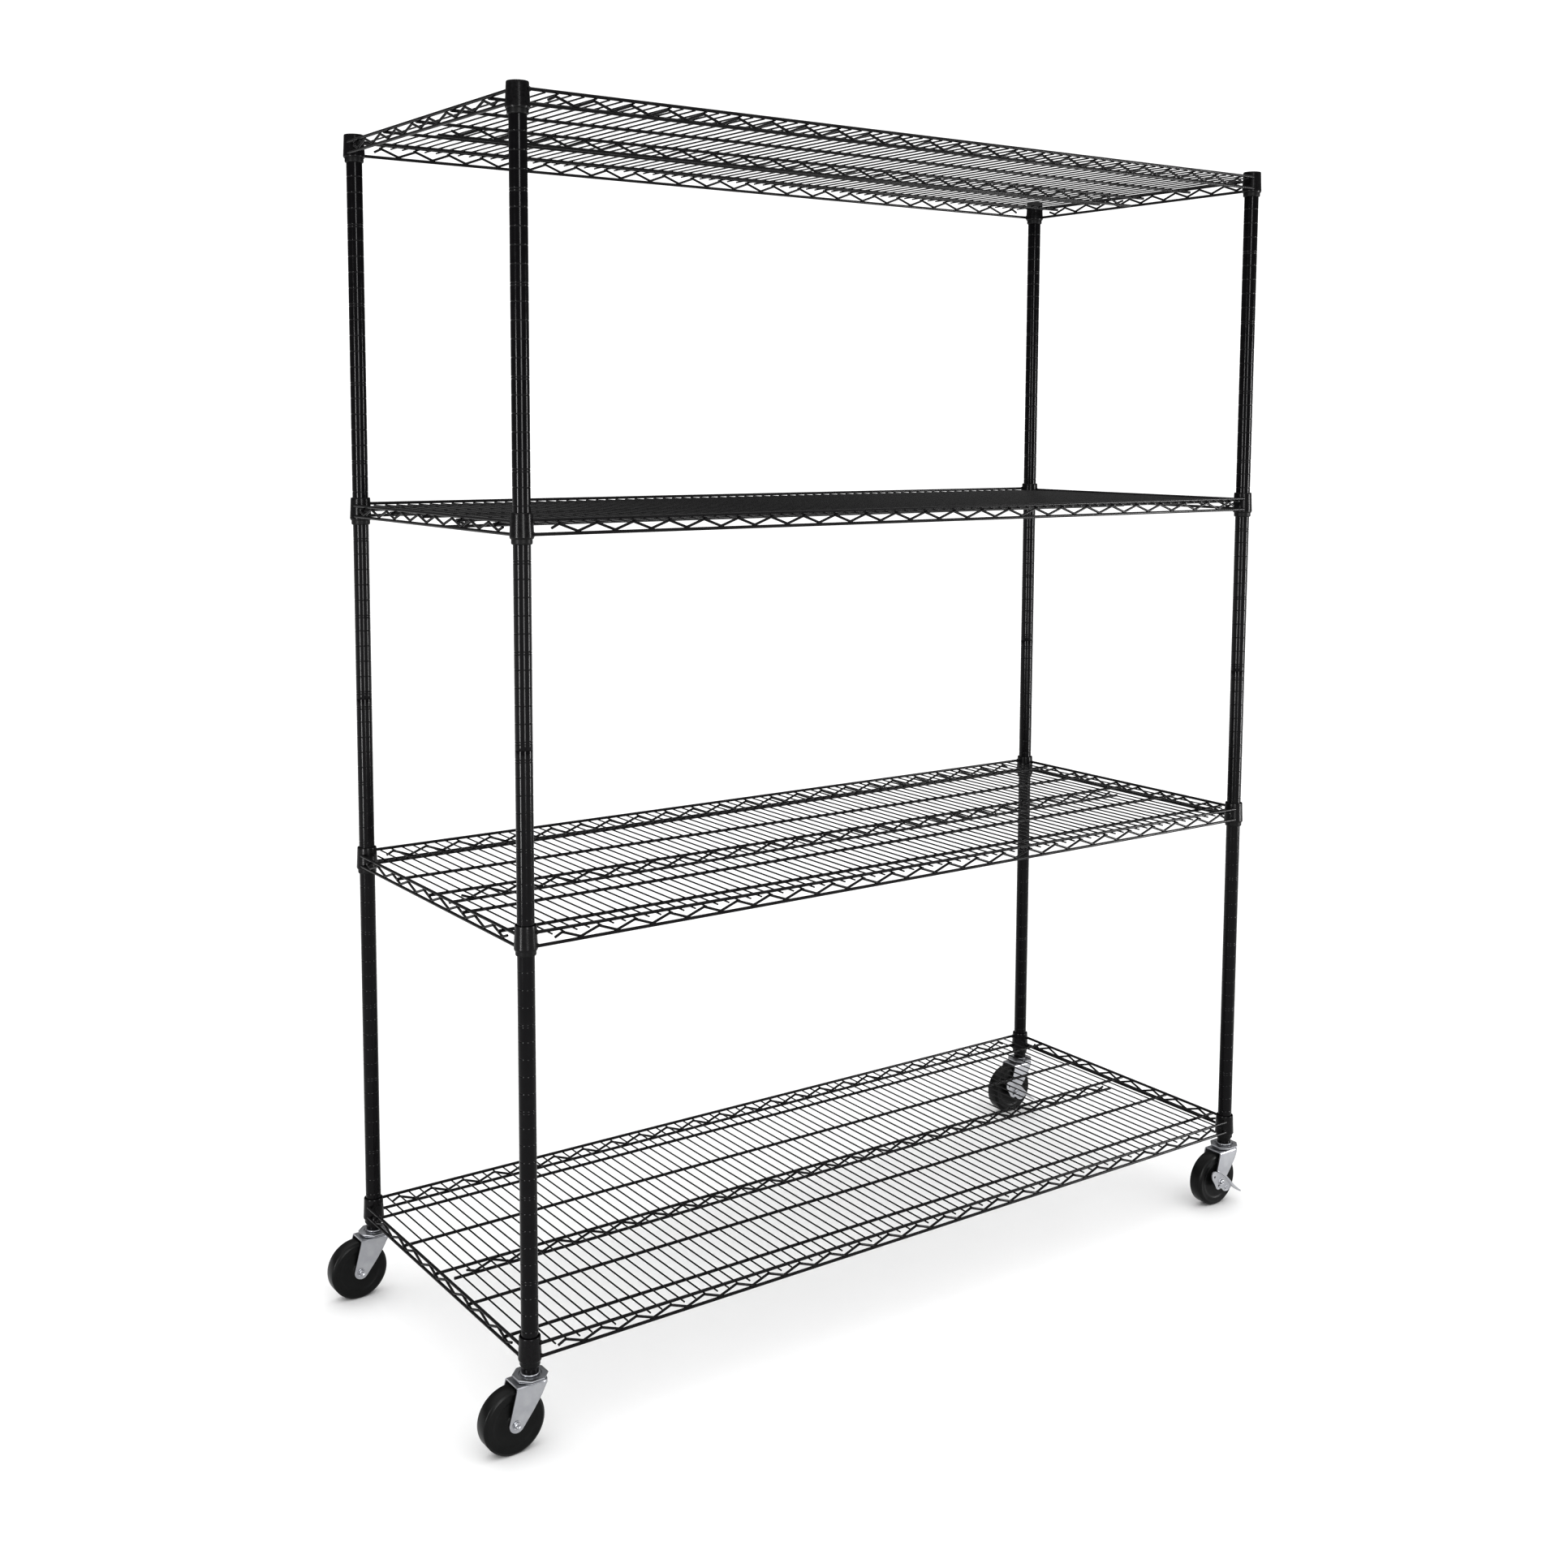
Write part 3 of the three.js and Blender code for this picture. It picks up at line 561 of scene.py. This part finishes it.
for corner in POSTS:
    foot = FEET[corner]
    middle, top = foot + Vector((0, 0, HALF_LENGTH)), foot + Vector((0, 0, 2 * HALF_LENGTH))
    piece(f"tube_lower_{corner}", lower_tube, foot, "rack", f"post_{corner}_lower",
          [POST_BLACK])
    piece(f"tube_upper_{corner}", upper_tube, middle, "rack", f"post_{corner}_upper",
          [POST_BLACK])
    piece(f"cap_{corner}", cap_mesh, top, "rack", f"post_{corner}_cap", [CAP_BLACK])
    for level, groove in enumerate(SHELF_GROOVES, 1):
        seat = foot + Vector((0, 0, groove * INCH - SHELF_SEAT_DROP))
        piece(f"split_sleeve_{corner}_{level}", sleeve_mesh, seat, "rack",
              f"sleeve_{corner}_{level}", [SLEEVE_BLACK])


# ---- Shelves ----

def truss(count, first, high, low, ends):
    """A zigzag as (along, z): count tops from first on, low points between them, and two ends."""
    path = [ends[0]]
    for i in range(count):
        path.append((first + i * TRUSS_PERIOD, high))
        if i < count - 1:
            path.append((first + (i + 0.5) * TRUSS_PERIOD, low))
    return path + [ends[1]]


def thick_rod(start, end):
    """A straight rail or long wire."""
    return rod([start, end], ROD_RADIUS, ROD_SIDES, ROD_EASE)


def truss_wire(path):
    """A bent zigzag wire."""
    return rod(rounded(path, TRUSS_BEND), TRUSS_RADIUS)


def cross_wire(x, reach):
    """A thin wire across the deck."""
    ends = [(x, -reach, CROSS_WIRE_Z), (x, reach, CROSS_WIRE_Z)]
    return rod(ends, CROSS_WIRE_RADIUS, CROSS_WIRE_SIDES, CROSS_WIRE_EASE)


frame_shape = Shape()
for sx in (-1, 1):
    for sy in (-1, 1):
        collar = lathe(COLLAR_OUTLINE, ROUND_SIDES, closed=True)
        frame_shape.add(*collar, number=1, at=(sx * HALF_X, sy * HALF_Y, 0))
for sy in (-1, 1):
    y = sy * (HALF_Y + RAIL_OFFSET_Y)
    reach = HALF_X - RAIL_END_X
    for z in (LONG_TOP_RAIL_Z, BOTTOM_RAIL_Z):
        frame_shape.add(*thick_rod((-reach, y, z), (reach, y, z)))
        for sx in (-1, 1):
            weld = bead((WELD_ALONG, WELD_ACROSS, WELD_TALL), sx + 2 * sy + z)
            frame_shape.add(*weld, at=(sx * (reach - WELD_SETBACK), y - sy * WELD_SINK, z))
    first = TRUSS_FIRST_TOP - HALF_X
    end = first - LONG_TRUSS_END
    zigzag = truss(LONG_TRUSS_TOPS, first, LONG_TRUSS_HIGH, LONG_TRUSS_LOW,
                   [(end, LONG_TRUSS_END_Z), (-end, LONG_TRUSS_END_Z)])
    frame_shape.add(*truss_wire([(u, y, z) for u, z in zigzag]))
for sx in (-1, 1):
    x = sx * (HALF_X + RAIL_OFFSET_X)
    reach = HALF_Y - RAIL_END_Y
    for z in (SHORT_TOP_RAIL_Z, BOTTOM_RAIL_Z):
        frame_shape.add(*thick_rod((x, -reach, z), (x, reach, z)))
        for sy in (-1, 1):
            weld = bead((WELD_ACROSS, WELD_ALONG, WELD_TALL), sy + 2 * sx + z)
            frame_shape.add(*weld, at=(x - sx * WELD_SINK, sy * (reach - WELD_SETBACK), z))
    last_low = SHORT_TRUSS_TOPS / 2 * TRUSS_PERIOD
    end = HALF_Y - SHORT_TRUSS_END_GAP
    zigzag = truss(SHORT_TRUSS_TOPS, -(SHORT_TRUSS_TOPS - 1) / 2 * TRUSS_PERIOD, SHORT_TRUSS_HIGH,
                   SHORT_TRUSS_LOW, [(-last_low, SHORT_TRUSS_LOW), (last_low, SHORT_TRUSS_LOW)])
    zigzag = [(-end, SHORT_TRUSS_END_Z)] + zigzag + [(end, SHORT_TRUSS_END_Z)]
    frame_shape.add(*truss_wire([(x, u, z) for u, z in zigzag]))

deck_shape = Shape()
for i in range(LONG_WIRE_COUNT):
    y = (i - LONG_WIRE_COUNT // 2) * LONG_WIRE_PITCH
    reach = HALF_X + LONG_WIRE_REACH
    deck_shape.add(*thick_rod((-reach, y, 0), (reach, y, 0)))
reach = HALF_X - MIDDLE_RAIL_GAP
deck_shape.add(*thick_rod((-reach, 0, MIDDLE_RAIL_Z), (reach, 0, MIDDLE_RAIL_Z)))
first = TRUSS_FIRST_TOP - HALF_X + TRUSS_PERIOD / 2
last_low = first - TRUSS_PERIOD / 2
end = last_low - MIDDLE_TRUSS_END
zigzag = truss(LONG_TRUSS_TOPS - 1, first, MIDDLE_TRUSS_HIGH, MIDDLE_TRUSS_LOW,
               [(last_low, MIDDLE_TRUSS_LOW), (-last_low, MIDDLE_TRUSS_LOW)])
zigzag = [(end, MIDDLE_TRUSS_END_Z)] + zigzag + [(-end, MIDDLE_TRUSS_END_Z)]
deck_shape.add(*truss_wire([(u, 0, z) for u, z in zigzag]))
for i in range(CROSS_WIRE_COUNT):
    x = CROSS_WIRE_FIRST - HALF_X + i * CROSS_WIRE_PITCH
    deck_shape.add(*cross_wire(x, HALF_Y + CROSS_WIRE_REACH))
for sx in (-1, 1):
    deck_shape.add(*cross_wire(sx * (HALF_X - END_WIRE_INSET), HALF_Y - END_WIRE_SETBACK))

frame_mesh = mesh_of("shelf_frame", frame_shape)
deck_mesh = mesh_of("shelf_deck", deck_shape)
for level, groove in enumerate(SHELF_GROOVES, 1):
    place = CENTRE + Vector((0, 0, groove * INCH - SHELF_SEAT_DROP))
    piece(f"wire_frame_{level}", frame_mesh, place, "rack", f"shelf_{level}_frame",
          [WIRE_BLACK, COLLAR_BLACK])
    piece(f"wire_deck_{level}", deck_mesh, place, "rack", f"shelf_{level}_deck",
          [WIRE_BLACK])


# ---- Casters ----

def octagon(radius, steps=3):
    """A regular octagon with rounded corners and a flat towards each axis."""
    half = 22.5
    points = []
    for i in range(8):
        middle = half + 2 * half * i
        inner = radius - PLATE_CORNER / math.cos(math.radians(half))
        centre = (inner * math.cos(math.radians(middle)), inner * math.sin(math.radians(middle)))
        points += arc(centre, PLATE_CORNER, middle - half, middle + half, steps)
    return points


def plate_stack(levels):
    """A solid octagonal plate with a shaped edge: (z, radius) levels, from the bottom up."""
    return loft([(z, octagon(r)) for z, r in levels])


def fork_plan(inset, tail):
    """The fork from above, inset all round: pinched tail, straight sides, round-cornered nose."""
    x, y, r = FORK_NOSE - FORK_CORNER, FORK_HALF_WIDTH - FORK_CORNER, FORK_CORNER - inset
    side = inset - FORK_HALF_WIDTH
    near = [(tail, side + FORK_TAIL_PINCH)] + [(fold, side) for fold in FORK_FOLD]
    nose = arc((x, -y), r, -90, 0, 10) + arc((x, y), r, 0, 90, 10)
    return near + nose + [(px, -py) for px, py in reversed(near)]


def fork_body(inset, top, shoulder, tail, bottom):
    """The filled fork with a rounded shoulder between its crown and its legs."""
    levels = [(bottom, fork_plan(inset, tail))]
    for degrees in range(0, 91, 15):
        a = math.radians(degrees)
        drop = shoulder * (1 - math.sin(a))
        levels.append((top - drop, fork_plan(inset + shoulder * (1 - math.cos(a)), tail)))
    return loft(levels)


def axle_mesh(name, near):
    """The axle, a tubular rivet with two heads. near is how far out the front head starts."""
    shape = Shape()
    far = AXLE_REACH
    shape.add(*lathe([
        (0, near + 0.6), (1.6, near + 0.7), (1.9, near + 2.3), (2.6, near + 2.7), (3.7, near + 2.4),
        (4.5, near + 1.4), (4.8, near), (4.0, near), (4.0, -far), (4.8, -far), (4.5, -far - 1.4),
        (3.7, -far - 2.2), (2.4, -far - 2.5), (1.9, -far - 2.2), (1.6, -far - 0.8), (0, -far - 0.7),
    ], SMALL_SIDES), turn=ACROSS)
    return mesh_of(name, shape)


stem_mesh = turned_mesh("caster_stem", STEM_OUTLINE, ROUND_SIDES)

kingpin_hole = prism(circle((0, 0), KINGPIN_HOLE_RADIUS, 24), -CUT_REACH, CUT_MARGIN)
plate_shape = Shape()
plate_shape.add(*cut(
    plate_stack(PLATE_LEVELS),
    ("DIFFERENCE", lathe(PLATE_TRENCH, ROUND_SIDES, closed=True)),
    ("DIFFERENCE", kingpin_hole),
))
plate_mesh = mesh_of("bearing_plate", plate_shape)

axle_point = (-WHEEL_TRAIL, AXLE_Z)
fork_side = [*FORK_REAR_EDGE, *arc(axle_point, FORK_EYE_RADIUS, 175, 323, 16), *FORK_FRONT_EDGE]
axle_hole = prism(circle(axle_point, AXLE_HOLE_RADIUS, 24), -CUT_REACH, CUT_REACH, SIDEWAYS)
fork_inside = fork_body(FORK_SHEET, FORK_TOP - FORK_SHEET, FORK_INNER_SHOULDER,
                        FORK_TAIL - CUT_MARGIN, FORK_BOTTOM - CUT_MARGIN)
fork_shape = Shape()
fork_shape.add(*cut(
    fork_body(0, FORK_TOP, FORK_SHOULDER, FORK_TAIL, FORK_BOTTOM),
    ("DIFFERENCE", fork_inside),
    ("INTERSECT", prism(fork_side, -CUT_REACH, CUT_REACH, SIDEWAYS)),
    ("DIFFERENCE", kingpin_hole),
    ("DIFFERENCE", axle_hole),
))
fork_shape.add(*cut(plate_stack(RACE_LEVELS), ("DIFFERENCE", kingpin_hole)))
for sy in (-1, 1):
    fork_shape.add(*lathe(EYE_RING, SMALL_SIDES, closed=True),
                   at=(-WHEEL_TRAIL, sy * FORK_HALF_WIDTH, AXLE_Z),
                   turn=Matrix.Rotation(-sy * math.pi / 2, 3, "X"))
fork_mesh = mesh_of("fork", fork_shape, FORK_SHARP_ANGLE)

tread = [(WHEEL_RADIUS, TREAD_HALF_WIDTH), (WHEEL_RADIUS, -TREAD_HALF_WIDTH)]
wheel_outline = [*WHEEL_SIDE, *tread, *((r, -y) for r, y in reversed(WHEEL_SIDE))]
wheel_shape = Shape()
wheel_shape.add(*lathe(wheel_outline, WHEEL_SIDES, closed=True), turn=ACROSS)
wheel_mesh = mesh_of("wheel", wheel_shape, ROUND_SHARP_ANGLE)

plain_axle = axle_mesh("axle_plain", AXLE_REACH)
long_axle = axle_mesh("axle_long", BRAKED_AXLE_REACH)

for corner in POSTS:
    foot = FEET[corner]
    hub = foot + Vector((-WHEEL_TRAIL, 0, AXLE_Z))
    caster, fork = f"caster_{corner}", f"swivel_{corner}"
    axle = long_axle if corner in BRAKED else plain_axle
    piece(f"stem_{corner}", stem_mesh, foot, "rack", f"{caster}_stem", [ZINC])
    piece(f"plate_{corner}", plate_mesh, foot, "rack", f"{caster}_bearing_plate",
          [ZINC])
    piece(f"fork_{corner}", fork_mesh, foot, fork, f"{caster}_fork", [ZINC],
          bevel=FORK_BEVEL)
    piece(f"wheel_{corner}_tyre", wheel_mesh, hub, f"wheel_{corner}", f"{caster}_wheel",
          [WHEEL_BLACK])
    piece(f"axle_{corner}", axle, hub, fork, f"{caster}_axle", [ZINC])


# ---- Brake levers ----

def softened(outline, rounds):
    """A closed outline with its corners cut again and again until they are round."""
    outline = list(outline)
    for _ in range(rounds):
        out = []
        for (x0, y0), (x1, y1) in zip(outline, outline[1:] + outline[:1]):
            out.append((0.75 * x0 + 0.25 * x1, 0.75 * y0 + 0.25 * y1))
            out.append((0.25 * x0 + 0.75 * x1, 0.25 * y0 + 0.75 * y1))
        outline = out
    return outline


def shrunk(outline, amount):
    """A closed outline, given anticlockwise, moved inwards."""
    out = []
    for before, here, after in zip(outline[-1:] + outline[:-1], outline, outline[1:] + outline[:1]):
        run = Vector((after[0] - before[0], after[1] - before[1])).normalized()
        out.append((here[0] - run.y * amount, here[1] + run.x * amount))
    return out


lever_plate = softened(LEVER_PLATE, 2)
lever_holes = [prism(circle((x, z), radius, 16), -CUT_REACH, CUT_MARGIN, SIDEWAYS)
               for x, z, radius in LEVER_HOLES]
lever_shape = Shape()
lever_shape.add(*cut(
    prism(lever_plate, *LEVER_PLATE_Y, SIDEWAYS),
    ("DIFFERENCE", prism(shrunk(lever_plate, LEVER_RIM), *LEVER_POCKET_Y, SIDEWAYS)),
    ("UNION", prism(softened(LEVER_PEDAL, 1), *LEVER_PEDAL_Y, SIDEWAYS)),
    *(("DIFFERENCE", hole) for hole in lever_holes),
))
for (x, z), outline in LEVER_BOSSES:
    boss = lathe(outline, SMALL_SIDES, closed=True)
    lever_shape.add(*boss, at=(x, LEVER_POCKET_Y[1], z), turn=ACROSS)
lever_mesh = mesh_of("brake_lever", lever_shape)
for corner in BRAKED:
    hub = FEET[corner] + Vector((-WHEEL_TRAIL, 0, AXLE_Z))
    piece(f"lever_{corner}", lever_mesh, hub, f"brake_lever_{corner}",
          f"caster_{corner}_brake_lever", [ZINC], bevel=LEVER_BEVEL)


# ---- Stage ----

FLOOR_REACH = 30
FLOOR_SHADE = (0.94, 0.94, 0.94, 1)
FLOOR_ROUGHNESS = 0.9
WHITE = (1, 1, 1, 1)
FILL_STRENGTH = 0.22
BACKDROP_STRENGTH = 1.0
STRIPS = (  # name, place, target, width, height, power
    ("left_strip", (-3.64, -0.96, 0.92), (-0.72, -0.28, 0.92), 0.45, 1.7, 80),
    ("middle_strip", (-1.44, -3.9, 1.55), (-0.72, -0.28, 1.55), 0.7, 2.6, 95),
    ("right_strip", (2.9, -2.45, 0.92), (0.0, -0.28, 0.92), 0.45, 1.7, 85),
)
CEILING_ENERGY = 2.9
CEILING_ANGLE = math.radians(120)
CEILING_TILT = (math.radians(8), math.radians(-6), 0)


def camera_split(tree, output, seen, unseen):
    """Joins two shaders: one for what the camera sees directly, one for light and reflections."""
    path = tree.nodes.new("ShaderNodeLightPath")
    chosen = tree.nodes.new("ShaderNodeMixShader")
    tree.links.new(path.outputs["Is Camera Ray"], chosen.inputs["Fac"])
    tree.links.new(unseen, chosen.inputs[1])
    tree.links.new(seen, chosen.inputs[2])
    tree.links.new(chosen.outputs["Shader"], output.inputs["Surface"])


pale = bpy.data.materials.new("pale_floor")
pale.use_nodes = True
pale_shader = pale.node_tree.nodes["Principled BSDF"]
pale_shader.inputs["Base Color"].default_value = FLOOR_SHADE
pale_shader.inputs["Roughness"].default_value = FLOOR_ROUGHNESS
floor_mesh = bpy.data.meshes.new("floor")
floor_corners = [(-1, -1), (1, -1), (1, 1), (-1, 1)]
floor_mesh.from_pydata([(FLOOR_REACH * x, FLOOR_REACH * y, 0) for x, y in floor_corners], [],
                       [(0, 1, 2, 3)])
floor_mesh.materials.append(pale)
floor = bpy.data.objects.new("floor", floor_mesh)
bpy.context.scene.collection.objects.link(floor)

world = bpy.data.worlds.new("studio")
bpy.context.scene.world = world
world.use_nodes = True
studio = world.node_tree
fill = studio.nodes["Background"]
fill.inputs["Color"].default_value = WHITE
fill.inputs["Strength"].default_value = FILL_STRENGTH
backdrop = node_of(studio, "ShaderNodeBackground", Color=WHITE, Strength=BACKDROP_STRENGTH)
camera_split(studio, studio.nodes["World Output"], backdrop.outputs["Background"],
             fill.outputs["Background"])

# The strips light the object alone: a floor lit by them outshines the thin wires in front of it.
not_floor = bpy.data.collections.new("not_floor")
not_floor.objects.link(floor)
not_floor.collection_objects[0].light_linking.link_state = "EXCLUDE"
for name, place, target, width, height, power in STRIPS:
    light = bpy.data.lights.new(name, "AREA")
    light.shape, light.size, light.size_y, light.energy = "RECTANGLE", width, height, power
    strip = bpy.data.objects.new(name, light)
    bpy.context.scene.collection.objects.link(strip)
    strip.location = place
    strip.rotation_mode = "QUATERNION"
    strip.rotation_quaternion = (Vector(target) - Vector(place)).to_track_quat("-Z", "Y")
    strip.light_linking.receiver_collection = not_floor

sky = bpy.data.lights.new("ceiling", "SUN")
sky.energy, sky.angle = CEILING_ENERGY, CEILING_ANGLE
ceiling = bpy.data.objects.new("ceiling", sky)
bpy.context.scene.collection.objects.link(ceiling)
ceiling.rotation_euler = CEILING_TILT
bpy.context.scene.view_settings.view_transform = "Standard"
bpy.context.scene.view_settings.look = "Medium High Contrast"

# ---- Camera ----

CAMERA_PLACE = Vector((-1.8750, -2.5507, 1.4858))
YAW, PITCH, ROLL = 0.6161, -0.0991, 0.0044
SENSOR_WIDTH = 36
LENS = 41.70
SHIFT_Y = -0.115
CLIP_START, CLIP_END = 0.05, 200

level = math.cos(PITCH)
forward = Vector((math.sin(YAW) * level, math.cos(YAW) * level, math.sin(PITCH)))
right = forward.cross(Vector((0, 0, 1))).normalized()
up = right.cross(forward)
right, up = (right * math.cos(ROLL) + up * math.sin(ROLL),
             up * math.cos(ROLL) - right * math.sin(ROLL))
camera = bpy.data.objects.new("camera", bpy.data.cameras.new("camera"))
bpy.context.scene.collection.objects.link(camera)
turned = Matrix((right, up, -forward)).transposed()
camera.matrix_world = Matrix.Translation(CAMERA_PLACE) @ turned.to_4x4()
camera.data.sensor_width = SENSOR_WIDTH
camera.data.lens = LENS
camera.data.shift_y = SHIFT_Y
camera.data.clip_start, camera.data.clip_end = CLIP_START, CLIP_END
bpy.context.scene.camera = camera
